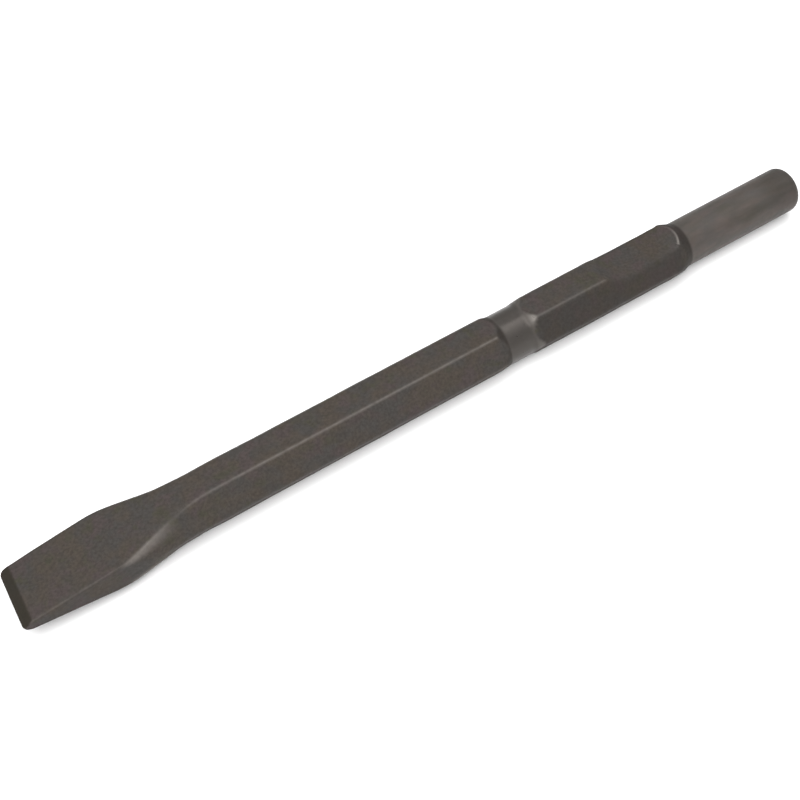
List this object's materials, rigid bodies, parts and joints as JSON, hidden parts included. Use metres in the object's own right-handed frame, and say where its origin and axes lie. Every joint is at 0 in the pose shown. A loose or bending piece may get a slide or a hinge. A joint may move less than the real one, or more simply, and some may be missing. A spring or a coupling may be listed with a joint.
{
  "type": "cold chisel",
  "caption": "Hexagon-bar cold chisel with a flat forged blade, a turned neck and a notched machine shank that ends in a round pilot.",
  "frame": {"origin": "centre of the rear face, on the axis of the bar", "axes": "+X along the bar, out of the rear face that the hammer strikes; +Z out of the hexagon flat that has the notch, which is parallel to the flat of the blade"},
  "size_m": [0.2799, 0.022, 0.017],
  "materials": {
    "forged_steel": "satin dark brown-grey heat-treated steel"
  },
  "bodies": {
    "root": {"chisel_bar": "forged_steel"}
  },
  "joints": []
}
